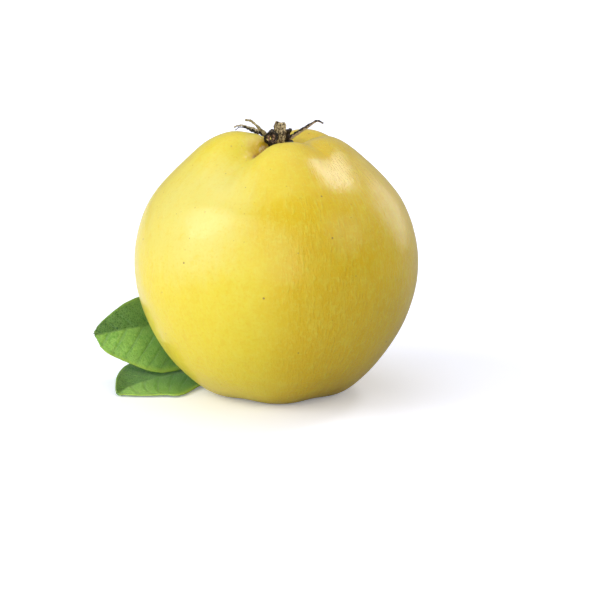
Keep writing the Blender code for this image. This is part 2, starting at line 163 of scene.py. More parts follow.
# Specks: how far apart, the largest radius, the share that is there, from which share of the
# fruit's height up, and how strong. A few larger ones anywhere, and small ones near the eye.
SPECKS = (
    (3.4 * MM, 0.46 * MM, 0.10, 0.0, 0.85),
    (1.5 * MM, 0.26 * MM, 0.22, 0.50, 0.65),
)
SPECK_CORE = 0.4  # share of the radius inside which a speck is full
SPECK_FADE = 0.2  # share of the fruit's height over which they set in

# --- Sepals ----------------------------------------------------------------------------------
# Millimetres from the middle of the tube's foot, from base to tip. Angles are degrees. ragged
# is the share that the sides may lose, and forked counts the rows that are split at the tip.
SEPALS = {
    "sepal_left_low": {
        "midline": [
            (-3.9, 1.0, 5.0),
            (-5.3, 0.9, 6.0),
            (-7.1, 0.7, 6.8),
            (-9.6, 0.5, 7.7),
            (-11.3, 0.4, 8.4),
            (-12.8, 0.4, 8.4),
            (-14.3, 0.4, 7.7),
        ],
        "half_widths": (0.75, 0.95, 1.05, 0.95, 0.60, 0.45, 0.40),
        "facing": 180.0,
        "twist": -62.0,
        "ragged": 0.55,
        "forked": 9,
        "finish": "speckled",
    },
    "sepal_left_high": {
        "midline": [
            (-3.7, -1.6, 4.9),
            (-4.8, -1.6, 6.3),
            (-6.4, -1.5, 7.9),
            (-7.8, -1.4, 9.2),
            (-9.3, -1.3, 10.3),
            (-10.9, -1.3, 10.5),
        ],
        "half_widths": (0.62, 0.60, 0.46, 0.36, 0.30, 0.22),
        "facing": 180.0,
        "twist": -75.0,
        "ragged": 0.15,
        "forked": 0,
        "finish": "khaki",
    },
    "sepal_upright": {
        "midline": [
            (0.2, -5.0, 3.9),
            (0.0, -5.0, 5.9),
            (-0.1, -4.8, 7.7),
            (0.0, -4.4, 9.0),
            (0.2, -3.9, 10.0),
        ],
        "half_widths": (1.4, 2.0, 2.3, 2.3, 1.8),
        "facing": -90.0,
        "twist": 0.0,
        "ragged": 0.16,
        "forked": 0,
        "finish": "mottled",
    },
    "sepal_right": {
        "midline": [
            (2.6, -2.9, 4.9),
            (4.4, -3.1, 6.3),
            (7.4, -2.8, 8.1),
            (9.6, -2.3, 9.4),
            (11.2, -1.9, 10.3),
            (12.3, -1.7, 10.1),
            (13.4, -1.6, 9.5),
        ],
        "half_widths": (0.70, 0.85, 0.75, 0.58, 0.42, 0.36, 0.28),
        "facing": 0.0,
        "twist": 62.0,
        "ragged": 0.25,
        "forked": 0,
        "finish": "edged",
    },
    "sepal_rolled": {
        "midline": [
            (-3.8, -4.1, 4.1),
            (-4.5, -5.6, 4.9),
            (-4.2, -6.9, 6.1),
            (-3.1, -7.1, 7.1),
            (-1.7, -7.1, 6.9),
            (-1.1, -7.1, 5.8),
            (-1.8, -7.0, 4.8),
            (-3.0, -7.0, 4.9),
            (-3.4, -7.0, 5.9),
            (-2.6, -7.0, 6.4),
            (-2.0, -7.0, 5.9),
            (-2.5, -7.0, 5.4),
        ],
        "half_widths": (0.8, 0.9, 1.0, 1.1, 1.1, 1.1, 1.05, 1.0, 1.0, 1.0, 1.0, 1.0),
        "facing": 180.0,
        "twist": 0.0,
        "ragged": 0.35,
        "forked": 0,
        "finish": "charred",
    },
}
SEPAL_THICKNESS = 0.42 * MM
SEPAL_ROWS = 34
SEPAL_COLUMNS = 8
SEPAL_FOLD = 0.55  # radians, each side
SEPAL_SEED = 7
SEPAL_WRINKLES = (1.3 * MM, 0.6 * MM)
SEPAL_PITS = (0.5 * MM, 0.14 * MM)
FORK_GAP = 0.45 * MM

BLACK = (0.006, 0.005, 0.004)
SOOT = (0.05, 0.04, 0.03)
CREAM = (0.62, 0.52, 0.32)

# The sepals' finishes: three colours from dark to pale, and the share that has the palest.
# One long edge may be paler, and the tip may have a colour of its own.
DRY_SKINS = {
    "mottled": {
        "colors": ((0.018, 0.012, 0.006), (0.16, 0.105, 0.05), (0.56, 0.45, 0.26)),
        "amount": 0.78,
    },
    "khaki": {
        "colors": ((0.16, 0.12, 0.05), (0.34, 0.27, 0.12), (0.55, 0.47, 0.26)),
        "amount": 0.55,
    },
    "edged": {
        "colors": (BLACK, (0.07, 0.045, 0.025), (0.48, 0.36, 0.24)),
        "amount": 0.35,
        "edge": 0.16,
    },
    "speckled": {"colors": (BLACK, SOOT, CREAM), "amount": 0.50, "edge": 0.10},
    "charred": {"colors": (BLACK, SOOT, CREAM), "amount": 0.30, "tip": (0.42, 0.25, 0.17)},
}

# --- Tube, stamens and styles ----------------------------------------------------------------
THREADS = ("stamen", "style")  # what the names of these pieces begin with
THREAD_SWELL = 0.10 * MM
TIP_SWELL = 0.16 * MM
TIP_BAND = (1.5 * MM, 0.7 * MM)  # below a thread's top
THREAD_CRUMPLE = (0.6 * MM, 0.25 * MM)
TUBE_CRUMPLE = (1.1 * MM, 0.35 * MM)
THREAD_COLORS = ((0.008, 0.006, 0.005), (0.10, 0.06, 0.03))

# --- Shoot and buds --------------------------------------------------------------------------
BUDS = ("bud_upper", "bud_lower")
CUSHION_HEIGHT = 0.7 * MM  # how much the shoot swells under each bud
CUSHION_EDGE = (1.5 * MM, 3.5 * MM)  # from the middle of the bud
BARK_GRAIN = (2.0 * MM, 0.15 * MM)
BARK_COLORS = ((0.085, 0.050, 0.028), (0.20, 0.155, 0.105))
BARK_FIBRE = (0.27, 0.22, 0.15)
BARK_PORE = (0.42, 0.35, 0.24)
PORE_SPACING = 1.6 * MM

# --- Leaves ----------------------------------------------------------------------------------
# Millimetres from the middle of the fruit's foot. Slopes are degrees from stalk to tip: the
# front side of a blade falls and the back side rises. Each side's outline gives the share of
# the blade's length from the stalk and the share of that side's width.
LEAVES = {
    "leaf_upper": {
        "midline": [
            (-4.9, 29.6, 5.0),
            (-8.5, 35.5, 8.8),
            (-15.5, 38.5, 12.6),
            (-26.0, 32.0, 14.8),
            (-37.0, 22.5, 16.3),
            (-47.8, 15.0, 16.7),
            (-58.7, 8.8, 15.8),
        ],
        "widths": (17.6, 10.9),
        "blade_from": 0.13,
        "front_slopes": (38.0, 46.0, 50.0),
        "back_slopes": (52.0, 70.0, 80.0),
        "curls": (8.0, -8.0),
        "outlines": (
            [(0.0, 0.05), (0.06, 0.30), (0.15, 0.50), (0.28, 0.68), (0.45, 0.86), (0.58, 0.96),
             (0.69, 0.98), (0.78, 0.88), (0.86, 0.69), (0.93, 0.50), (0.965, 0.39), (0.985, 0.29),
             (0.995, 0.18), (1.0, 0.05)],
            [(0.0, 0.06), (0.06, 0.42), (0.15, 0.72), (0.28, 0.93), (0.45, 1.0), (0.62, 0.98),
             (0.73, 0.90), (0.80, 0.78), (0.86, 0.62), (0.91, 0.48), (0.95, 0.36), (0.98, 0.24),
             (0.993, 0.14), (1.0, 0.04)],
        ),
    },
    "leaf_lower": {
        "midline": [
            (-6.6, 39.6, 6.0),
            (-11.8, 37.6, 4.2),
            (-20.5, 28.0, 2.6),
            (-31.3, 14.2, 2.3),
            (-40.8, 5.2, 2.0),
            (-46.5, -1.4, 1.6),
            (-49.9, -8.5, 1.0),
        ],
        "widths": (18.0, 13.0),
        "blade_from": 0.15,
        "front_slopes": (8.0, 5.0, 4.0, 1.0),
        "back_slopes": (14.0, 11.0, 11.0, 17.0, 38.0),
        "curls": (0.0, 6.0),
        "outlines": (
            [(0.0, 0.05), (0.06, 0.28), (0.15, 0.46), (0.28, 0.57), (0.40, 0.63), (0.50, 0.71),
             (0.58, 0.82), (0.65, 0.92), (0.72, 0.99), (0.79, 1.0), (0.86, 0.91), (0.92, 0.73),
             (0.96, 0.51), (0.985, 0.30), (0.995, 0.16), (1.0, 0.04)],
            [(0.0, 0.06), (0.06, 0.36), (0.15, 0.58), (0.28, 0.72), (0.45, 0.82), (0.60, 0.88),
             (0.70, 0.84), (0.78, 0.68), (0.85, 0.49), (0.90, 0.35), (0.95, 0.22), (0.98, 0.15),
             (0.993, 0.10), (1.0, 0.04)],
        ),
    },
}
LEAF_ROWS = 64
LEAF_COLUMNS = 24
LEAF_CROWDING = 1.5  # rows lie closer together towards the tip, which is round
CURL_STEPS = 4
LEAF_THICKNESS = 0.42 * MM
LEAF_WAVES = ((11.0 * MM, 0.9 * MM), (2.2 * MM, 0.16 * MM))
BLADE_OPENS = (-0.02, 0.12)  # after the stalk's end, in shares of the whole length
VEINS_OPEN = (0.02, 0.12)
STALK_HALF_WIDTH = 0.8 * MM
LEAST_HALF_WIDTH = 0.25 * MM
RIB_THICKNESS = 1.5 * MM
RIB_HALF_WIDTHS = (0.6 * MM, 0.9 * MM)  # of its groove above and of its ridge below
RIB_TAPERS = (0.7, 0.8)  # the share of each that is lost at the tip
VEIN_SPACING = 6.2 * MM
VEIN_SLANT = 0.90  # how far a side vein runs on along the blade for each step to the side
VEIN_BEND = 14.0  # and how much more further out, in steps for each metre
VEIN_WIDTH = 0.09  # as a share of the spacing
VEIN_DEPTH = 0.20 * MM
NET_MESH = 0.85 * MM

# Painted shade where the fruit shades the blades: from its stalk a blade is all dark green up
# to the first, and has its own greens past the second.
PAINTED_SHADE_RUN = (40.0 * MM, 64.0 * MM)

LEAF_SHEEN = {
    "Subsurface Weight": 0.25,
    "Subsurface Radius": (0.45, 1.0, 0.12),
    "Subsurface Scale": 1.0 * MM,
    "Specular IOR Level": 0.45,
}

# The two sides of a blade. The back half and the front half have a dark and a light green
# each, and the veins and the margin have their own. The front half's greens are lighter:
# painted light, for the half that faces up towards the lamps.
LEAF_SKINS = {
    "leaf_top": {
        "back": ((0.038, 0.122, 0.032), (0.135, 0.305, 0.085)),
        "front": ((0.190, 0.430, 0.075), (0.405, 0.675, 0.165)),
        "vein": (0.24, 0.43, 0.13),
        "margin": (0.42, 0.60, 0.10),
        "roughness": 0.40,
    },
    "leaf_under": {
        "back": ((0.12, 0.20, 0.085), (0.20, 0.31, 0.13)),
        "front": ((0.13, 0.22, 0.090), (0.22, 0.33, 0.14)),
        "vein": (0.33, 0.44, 0.20),
        "margin": (0.30, 0.42, 0.12),
        "roughness": 0.55,
    },
}


# --- Working by hand -------------------------------------------------------------------------


def work_on(piece):
    """Nothing else is selected, and this piece is active."""
    bpy.ops.object.select_all(action="DESELECT")
    piece.select_set(True)
    bpy.context.view_layer.objects.active = piece


def open_up(piece):
    work_on(piece)
    bpy.ops.object.mode_set(mode="EDIT")


def close_up():
    bpy.ops.object.mode_set(mode="OBJECT")


def pick(piece, wanted):
    """In edit mode, selects the points that the rule wants and no others."""
    mesh = bmesh.from_edit_mesh(piece.data)
    for edge in mesh.edges:
        edge.select = False
    for face in mesh.faces:
        face.select = False
    for point in mesh.verts:
        point.select = wanted(point)
    mesh.select_flush_mode()
    bmesh.update_edit_mesh(piece.data, loop_triangles=False, destructive=False)


def pick_run(piece, first, last):
    """Picks the points whose numbers run from first to last."""
    pick(piece, lambda point: first <= point.index <= last)


def turn(angle, axis, centre=(0.0, 0.0, 0.0)):
    """Turns what is picked, right-handed, round an axis of the frame through the centre."""
    bpy.ops.transform.rotate(value=-angle, orient_axis=axis, center_override=centre)


def reshape(piece, kind, **settings):
    """Adds a modifier with these settings and applies it."""
    modifier = piece.modifiers.new(kind.lower(), kind)
    for name, value in settings.items():
        setattr(modifier, name, value)
    work_on(piece)
    bpy.ops.object.modifier_apply(modifier=modifier.name)


def refine(piece):
    reshape(piece, "SUBSURF", levels=FINE_LEVELS, render_levels=FINE_LEVELS)


def roughen(piece, size, height, pattern="CLOUDS"):
    """Lifts and sinks the surface by a pattern of this grain size."""
    texture = bpy.data.textures.new(piece.name, pattern)
    texture.noise_scale = size
    reshape(
        piece,
        "DISPLACE",
        texture=texture,
        texture_coords="LOCAL",
        strength=height,
        mid_level=0.5,
    )


def weigh(piece, name, weights):
    """A vertex group with these weights, one for each point."""
    group = piece.vertex_groups.new(name=name)
    for index in np.nonzero(weights > LEAST_WEIGHT)[0]:
        group.add([int(index)], float(weights[index]), "REPLACE")
    return name


def press_in(piece, group, depth, direction="NORMAL"):
    """Sinks the surface where the group has weight, or moves it back along an axis."""
    reshape(
        piece, "DISPLACE", strength=-depth, mid_level=0.0, vertex_group=group, direction=direction
    )


def points_of(piece):
    places = np.empty(len(piece.data.vertices) * 3, np.float32)
    piece.data.vertices.foreach_get("co", places)
    return places.reshape(-1, 3).astype(float)


def note(piece, name, values):
    """Keeps one number for each point, for the finish to read."""
    layer = piece.data.attributes.new(name, "FLOAT", "POINT")
    layer.data.foreach_set("value", np.asarray(values, np.float32))


def read(piece, name):
    layer = piece.data.attributes[name]
    values = np.empty(len(layer.data), np.float32)
    layer.data.foreach_get("value", values)
    return values.astype(float)


def copy_of(node):
    """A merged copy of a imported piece, in four-sided faces where they pair up."""
    piece = bpy.data.objects.new("fine_" + node.name, node.data.copy())
    bpy.context.scene.collection.objects.link(piece)
    piece.data.materials.clear()
    open_up(piece)
    bpy.ops.mesh.customdata_custom_splitnormals_clear()
    bpy.ops.mesh.select_all(action="SELECT")
    bpy.ops.mesh.remove_doubles(threshold=MERGE_WITHIN)
    bpy.ops.mesh.tris_convert_to_quads(face_threshold=math.pi, shape_threshold=math.pi)
    close_up()
    return piece


def hand_in(piece, node_name, slot, *finishes):
    """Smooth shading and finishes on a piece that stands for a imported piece."""
    piece.name = "fine_" + node_name
    work_on(piece)
    bpy.ops.object.shade_smooth()
    piece.data.materials.clear()
    for finish in finishes:
        piece.data.materials.append(finish)
    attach(piece, "root")
    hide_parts(node_name)
    return piece


def middle_of(name):
    low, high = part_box(name)
    return (low + high) / 2.0


def rising(low, high, value):
    """From 0 at low to 1 at high, eased at both ends."""
    share = np.clip((value - low) / (high - low), 0.0, 1.0)
    return share * share * (3.0 - 2.0 * share)


def falling(low, high, value):
    return 1.0 - rising(low, high, value)


def bell(value, width, power=2.0):
    """1 where the value is 0, and less to both sides, with hardly any left at twice the width."""
    return np.exp(-((np.abs(value) / width) ** power))


def smooth_line(points, count, crowding=1.0):
    """count points along the smooth curve through the given ones, evenly spaced, or closer
    together towards its end where crowding is over 1."""
    points = np.array(points, float)
    padded = np.vstack([2 * points[0] - points[1], points, 2 * points[-1] - points[-2]])
    fine = []
    for before, start, end, after in zip(padded, padded[1:], padded[2:], padded[3:]):
        for share in np.linspace(0.0, 1.0, LINE_STEPS, endpoint=False):
            fine.append(
                start
                + 0.5 * share * (end - before)
                + share**2 * (before - 2.5 * start + 2.0 * end - 0.5 * after)
                + share**3 * (1.5 * (start - end) + 0.5 * (after - before))
            )
    fine.append(points[-1])
    fine = np.array(fine)
    along = np.concatenate([[0.0], np.cumsum(np.linalg.norm(np.diff(fine, axis=0), axis=1))])
    wanted = along[-1] * (1.0 - (1.0 - np.linspace(0.0, 1.0, count)) ** crowding)
    return np.stack([np.interp(wanted, along, fine[:, k]) for k in range(points.shape[1])], axis=1)


def along_values(values, share):
    """The value at this share of the way through a short list of evenly spaced values."""
    return float(np.interp(share, np.linspace(0.0, 1.0, len(values)), values))


# --- Finishes --------------------------------------------------------------------------------


def new_finish(name):
    """A finish, its node tree and its shader."""
    finish = bpy.data.materials.new(name)
    finish.use_nodes = True
    return finish, finish.node_tree, finish.node_tree.nodes["Principled BSDF"]


def add(tree, kind, inputs=(), **settings):
    """Adds a node. inputs gives its sockets a value or joins them to another node's output."""
    made = tree.nodes.new("ShaderNode" + kind)
    for name, value in settings.items():
        setattr(made, name, value)
    for socket, value in dict(inputs).items():
        if isinstance(value, bpy.types.NodeSocket):
            tree.links.new(value, made.inputs[socket])
        else:
            made.inputs[socket].default_value = value
    return made


def noted(tree, name):
    """One of the numbers that note has kept for each point."""
    return add(tree, "Attribute", attribute_name=name).outputs["Fac"]


def sum_up(tree, operation, first, second=0.0, third=0.0):
    return add(tree, "Math", {0: first, 1: second, 2: third}, operation=operation).outputs[0]


def times(tree, first, second):
    return sum_up(tree, "MULTIPLY", first, second)


def facing(tree, direction, towards):
    """How far a direction points the way of another, from -1 to 1."""
    sockets = {0: direction, 1: Vector(towards).normalized()}
    return add(tree, "VectorMath", sockets, operation="DOT_PRODUCT").outputs["Value"]


def ramp(tree, value, low, high, to_low=0.0, to_high=1.0):
    """value taken from low..high to to_low..to_high, eased and held inside."""
    sockets = {"Value": value, "From Min": low, "From Max": high}
    sockets |= {"To Min": to_low, "To Max": to_high}
    return add(tree, "MapRange", sockets, interpolation_type="SMOOTHSTEP").outputs[0]


def mix(tree, share, under, over):
    """Two colours mixed by a share."""
    colors = [(*c, 1.0) if isinstance(c, tuple) and len(c) == 3 else c for c in (under, over)]
    made = add(tree, "Mix", {0: share, 6: colors[0], 7: colors[1]}, data_type="RGBA")
    return made.outputs[2]


def cloud(tree, where, size, detail=3.0, rough=0.55):
    """Soft noise with grains of this size, in the units of where."""
    sockets = {"Vector": where, "Scale": 1.0 / size, "Detail": detail, "Roughness": rough}
    return add(tree, "TexNoise", sockets).outputs["Fac"]


def join(tree, shader, socket, value):
    tree.links.new(value, shader.inputs[socket])


def hold(shader, values):
    """Sockets that have one value all over."""
    for socket, value in values.items():
        shader.inputs[socket].default_value = value


def relief(tree, shader, layers, socket="Normal"):
    """Bumps, each a height from 0 to 1 and how high it stands in metres."""
    normal = None
    for height, distance in layers:
        sockets = {"Height": height, "Distance": distance, "Strength": 1.0}
        if normal is not None:
            sockets["Normal"] = normal
        normal = add(tree, "Bump", sockets).outputs[0]
    join(tree, shader, socket, normal)


def draw_upright(tree, parts):
    """A place for noise to be read at. The direction round the fruit counts far more in it
    than the height, which draws the noise out into upright streaks."""
    level = add(tree, "CombineXYZ", {0: parts["X"], 1: parts["Y"]}).outputs[0]
    round_about = add(tree, "VectorMath", {0: level}, operation="NORMALIZE").outputs[0]
    lifted = add(tree, "CombineXYZ", {2: times(tree, parts["Z"], STREAK_RISE)}).outputs[0]
    return add(tree, "VectorMath", {0: round_about, 1: lifted}, operation="ADD").outputs[0]


def add_specks(tree, color, where, height):
    """The skin's colour with its brown specks on it."""
    for spacing, radius, kept, lowest, strength in SPECKS:
        cells = add(tree, "TexVoronoi", {"Vector": where, "Scale": 1.0 / spacing}).outputs
        chance = add(tree, "SeparateColor", {0: cells["Color"]}).outputs
        dot = ramp(tree, cells["Distance"], radius / spacing, SPECK_CORE * radius / spacing)
        dot = times(tree, dot, sum_up(tree, "LESS_THAN", chance[0], kept))
        dot = times(tree, dot, ramp(tree, chance[1], 0.0, 1.0, 0.3, 1.0))
        dot = times(tree, dot, ramp(tree, height, lowest, lowest + SPECK_FADE))
        color = mix(tree, times(tree, dot, strength), color, SPECK)
    return color


def make_skin(fruit_low, fruit_high):
    """Waxy yellow skin: golden and lemon patches, upright pale streaks, small brown specks."""
    finish, tree, shader = new_finish("quince_skin")
    middle = (fruit_low + fruit_high) / 2.0
    place = add(tree, "TexCoord").outputs["Object"]
    from_foot = {"Vector": place, "Location": (-middle.x, -middle.y, -fruit_low.z)}
    centred = add(tree, "Mapping", from_foot).outputs[0]
    parts = add(tree, "SeparateXYZ", {0: centred}).outputs
    height = sum_up(tree, "DIVIDE", parts["Z"], fruit_high.z - fruit_low.z)

    upright = draw_upright(tree, parts)
    streaks = cloud(tree, upright, STREAK_WIDTHS[0], 4.0, 0.6)
    fine_streaks = cloud(tree, upright, STREAK_WIDTHS[1], 3.0, 0.6)
    patches = cloud(tree, centred, 30.0 * MM, 2.0)
    mottle = cloud(tree, centred, 3.2 * MM, 4.0, 0.65)
    grain = cloud(tree, centred, 0.9 * MM, 3.0, 0.6)

    # Golder and darker towards the right, in broad patches and streaks.
    toward_gold = sum_up(tree, "DIVIDE", parts["X"], fruit_high.x - middle.x)
    toward_gold = sum_up(tree, "MULTIPLY_ADD", patches, 0.8, toward_gold)
    toward_gold = sum_up(tree, "MULTIPLY_ADD", streaks, 0.3, toward_gold)
    color = mix(tree, ramp(tree, toward_gold, 0.28, 0.90), LEMON, GOLD)
    color = mix(tree, ramp(tree, streaks, 0.45, 0.75, 0.0, 0.30), color, PALE)
    color = mix(tree, ramp(tree, mottle, 0.48, 0.72, 0.0, 0.36), color, PALE)
    streaked = ramp(tree, toward_gold, 0.35, 1.0, 0.22, 0.44)
    streaked = times(tree, streaked, ramp(tree, fine_streaks, 0.48, 0.70))
    color = mix(tree, streaked, color, PALE)
    color = mix(tree, ramp(tree, grain, 0.50, 0.70, 0.0, 0.40), color, PALE)
    color = mix(tree, ramp(tree, mottle, 0.46, 0.28, 0.0, 0.40), color, GOLD)
    color = mix(tree, ramp(tree, grain, 0.48, 0.30, 0.0, 0.45), color, GOLD)

    # A painted highlight: pale colour on the shoulder of the lemon side, which faces the left
    # lights.
    outward = add(tree, "VectorMath", {0: place, 1: tuple(middle)}, operation="SUBTRACT").outputs[0]
    outward = add(tree, "VectorMath", {0: outward}, operation="NORMALIZE").outputs[0]
    painted_highlight = sum_up(tree, "MULTIPLY_ADD", streaks, 0.10, facing(tree, outward, PAINTED_HIGHLIGHT_SIDE))
    painted_highlight = sum_up(tree, "MULTIPLY_ADD", mottle, 0.05, painted_highlight)
    color = mix(tree, ramp(tree, painted_highlight, 0.88, 1.08, 0.0, 0.65), color, PAINTED_HIGHLIGHT)
    color = mix(tree, ramp(tree, mottle, 0.42, 0.30, 0.0, 0.30), color, LEMON)
    color = mix(tree, ramp(tree, grain, 0.44, 0.32, 0.0, 0.30), color, LEMON)

    # Warmer round the deepest crease, russet in the creases and the eye, and flaky dry skin.
    crease, warm, dry = (noted(tree, name) for name in ("crease", "warm", "dry"))
    color = mix(tree, ramp(tree, warm, 0.30, 0.95, 0.0, 0.75), color, WARM)
    color = mix(tree, ramp(tree, crease, 0.05, 0.80, 0.0, 0.60), color, OCHRE)
    broken = times(tree, crease, ramp(tree, mottle, 0.30, 0.60, 0.45, 1.0))
    color = mix(tree, ramp(tree, broken, 0.30, 0.75, 0.0, 0.7), color, RUSSET)
    flaked = times(tree, dry, ramp(tree, grain, 0.38, 0.58))
    color = mix(tree, ramp(tree, flaked, 0.2, 0.6, 0.0, 0.85), color, DRY_FLESH)

    join(tree, shader, "Base Color", add_specks(tree, color, centred, height))
    join(tree, shader, "Roughness", ramp(tree, mottle, 0.3, 0.7, 0.36, 0.50))
    hold(shader, SKIN_SHEEN)

    # A leathery relief. The wax over it is smoother, but matt round the deepest crease.
    leather = times(tree, fine_streaks, ramp(tree, toward_gold, 0.35, 1.0, 0.30, 1.0))
    relief(tree, shader, [(mottle, 0.15 * MM), (leather, 0.42 * MM), (grain, 0.15 * MM)])
    matt = times(tree, grain, ramp(tree, warm, 0.05, 0.50))
    gloss = [(mottle, 0.04 * MM), (leather, 0.075 * MM), (grain, 0.025 * MM), (matt, 0.30 * MM)]
    relief(tree, shader, gloss, "Coat Normal")
    return finish


def make_dry_skin(name, colors, amount, tip=None, edge=0.0):
    """Dry withered tissue, ribbed along its length and blotched with the palest colour."""
    finish, tree, shader = new_finish(name)
    dark, brown, tan = colors
    place = add(tree, "TexCoord").outputs
    uv = add(tree, "SeparateXYZ", {0: place["UV"]}).outputs
    along = add(tree, "Mapping", {"Vector": place["UV"], "Scale": (9.0, 1.2, 1.0)}).outputs[0]
    ribs = cloud(tree, along, 1.0, 4.0, 0.5)
    blotches = cloud(tree, place["Object"], 0.85 * MM, 4.0, 0.65)
    dots = cloud(tree, place["Object"], 0.38 * MM, 2.0, 0.5)
    tone = sum_up(tree, "MULTIPLY_ADD", ribs, 0.45, times(tree, blotches, 0.55))
    tone = sum_up(tree, "MULTIPLY_ADD", sum_up(tree, "SUBTRACT", dots, 0.5), 0.35, tone)
    if edge:
        tone = sum_up(tree, "ADD", tone, ramp(tree, uv["X"], 0.35, 0.75, -0.5 * edge, edge))
    color = mix(tree, ramp(tree, tone, 0.40, 0.52), dark, brown)
    cut = 0.62 - 0.22 * amount
    color = mix(tree, ramp(tree, tone, cut, cut + 0.09), color, tan)
    if tip:
        near_tip = ramp(tree, uv["Y"], 0.58, 0.70)
        tipped = times(tree, near_tip, ramp(tree, blotches, 0.42, 0.56))
        color = mix(tree, tipped, color, tip)
    join(tree, shader, "Base Color", color)
    hold(shader, {"Roughness": 0.75, "Specular IOR Level": 0.3})
    relief(tree, shader, [(blotches, 0.25 * MM), (ribs, 0.30 * MM)])
    return finish


def make_dry_threads():
    """Shrivelled stamens and styles: nearly black, with a dusting of brown."""
    finish, tree, shader = new_finish("dry_threads")
    place = add(tree, "TexCoord").outputs["Object"]
    dust = cloud(tree, place, 0.5 * MM, 4.0, 0.65)
    join(tree, shader, "Base Color", mix(tree, ramp(tree, dust, 0.40, 0.72), *THREAD_COLORS))
    join(tree, shader, "Roughness", ramp(tree, dust, 0.3, 0.7, 0.45, 0.85))
    relief(tree, shader, [(dust, 0.15 * MM)])
    return finish


def make_bark():
    """Young bark: brown, with paler patches, fibres along it and pale pores."""
    finish, tree, shader = new_finish("bark")
    place = add(tree, "TexCoord").outputs["Object"]
    patches = cloud(tree, place, 4.0 * MM, 4.0)
    fibres = add(tree, "Mapping", {"Vector": place, "Scale": (1.0, 0.18, 1.0)}).outputs[0]
    fibre = cloud(tree, fibres, 0.7 * MM, 4.0, 0.65)
    spots = {"Vector": place, "Scale": 1.0 / PORE_SPACING}
    pores = add(tree, "TexVoronoi", spots).outputs["Distance"]
    color = mix(tree, ramp(tree, patches, 0.35, 0.65), *BARK_COLORS)
    color = mix(tree, ramp(tree, fibre, 0.50, 0.70, 0.0, 0.6), color, BARK_FIBRE)
    color = mix(tree, ramp(tree, pores, 0.20, 0.10), color, BARK_PORE)
    join(tree, shader, "Base Color", color)
    join(tree, shader, "Roughness", ramp(tree, fibre, 0.3, 0.7, 0.55, 0.8))
    relief(tree, shader, [(fibre, 0.18 * MM), (pores, 0.10 * MM)])
    return finish


def make_leaf_skin(name, back, front, vein, margin, roughness):
    """A leaf's skin: a midrib, slanting side veins, a fine net and a pale margin."""
    finish, tree, shader = new_finish(name)
    place = add(tree, "TexCoord").outputs["Object"]
    run, aside = noted(tree, "run"), noted(tree, "aside")
    out = sum_up(tree, "ABSOLUTE", noted(tree, "out"))
    far = sum_up(tree, "ABSOLUTE", aside)
    on_back = ramp(tree, aside, -0.4 * MM, 0.4 * MM)

    # Side veins, half a step apart on the two sides.
    wander = cloud(tree, place, 9.0 * MM, 2.0)
    lead = times(tree, far, sum_up(tree, "MULTIPLY_ADD", far, VEIN_BEND, VEIN_SLANT))
    phase = sum_up(tree, "DIVIDE", sum_up(tree, "SUBTRACT", run, lead), VEIN_SPACING)
    phase = sum_up(tree, "MULTIPLY_ADD", sum_up(tree, "GREATER_THAN", aside, 0.0), 0.5, phase)
    phase = sum_up(tree, "MULTIPLY_ADD", wander, 0.16, phase)
    off = sum_up(tree, "ABSOLUTE", sum_up(tree, "SUBTRACT", sum_up(tree, "FRACT", phase), 0.5))
    side_vein = times(tree, ramp(tree, off, 0.045, 0.0), ramp(tree, out, 1.0, 0.5))
    # Painted shade in the groove along each side vein.
    vein_groove_shade = ramp(tree, off, 0.16, 0.03)
    midrib = ramp(tree, far, 0.42 * MM, 0.10 * MM)

    # The fine net between the veins, and the meshes it encloses.
    cells = {"Vector": place, "Scale": 1.0 / NET_MESH}
    borders = add(tree, "TexVoronoi", cells, feature="DISTANCE_TO_EDGE").outputs["Distance"]
    meshes = add(tree, "TexVoronoi", cells).outputs["Color"]
    tint = add(tree, "SeparateColor", {0: meshes}).outputs[0]
    net = ramp(tree, borders, 0.20, 0.0)
    patches = cloud(tree, place, 8.0 * MM, 3.0)
    grain = cloud(tree, place, 0.8 * MM, 4.0, 0.7)

    shade = sum_up(tree, "MULTIPLY_ADD", grain, 0.8, times(tree, patches, 0.7))
    shade = sum_up(tree, "MULTIPLY_ADD", tint, 0.30, shade)
    shade = ramp(tree, shade, 0.50, 1.30)
    # Painted light: the front half gets lighter greens than the back half.
    color = mix(tree, on_back, mix(tree, shade, *front), mix(tree, shade, *back))
    # Painted shade: darker towards the stalk, in the fruit's shadow.
    color = mix(tree, ramp(tree, run, *PAINTED_SHADE_RUN, 1.0, 0.0), color, back[1])
    # Painted shade: darker green beside each side vein, for its groove.
    color = mix(tree, times(tree, vein_groove_shade, 0.30), color, back[0])
    drawn = times(tree, net, ramp(tree, on_back, 0.0, 1.0, 0.22, 0.50))
    color = mix(tree, drawn, color, vein)
    color = mix(tree, times(tree, side_vein, 0.32), color, vein)
    color = mix(tree, times(tree, midrib, 0.30), color, vein)
    edge = ramp(tree, out, 0.86, 1.0, 0.0, 0.75)
    edge = times(tree, edge, ramp(tree, on_back, 0.0, 1.0, 1.0, 0.45))
    color = mix(tree, edge, color, margin)
    join(tree, shader, "Base Color", color)
    join(tree, shader, "Roughness", ramp(tree, grain, 0.3, 0.7, roughness, roughness + 0.14))
    hold(shader, LEAF_SHEEN)
    relief(tree, shader, [(net, -0.04 * MM), (grain, 0.10 * MM), (side_vein, -0.05 * MM)])
    return finish


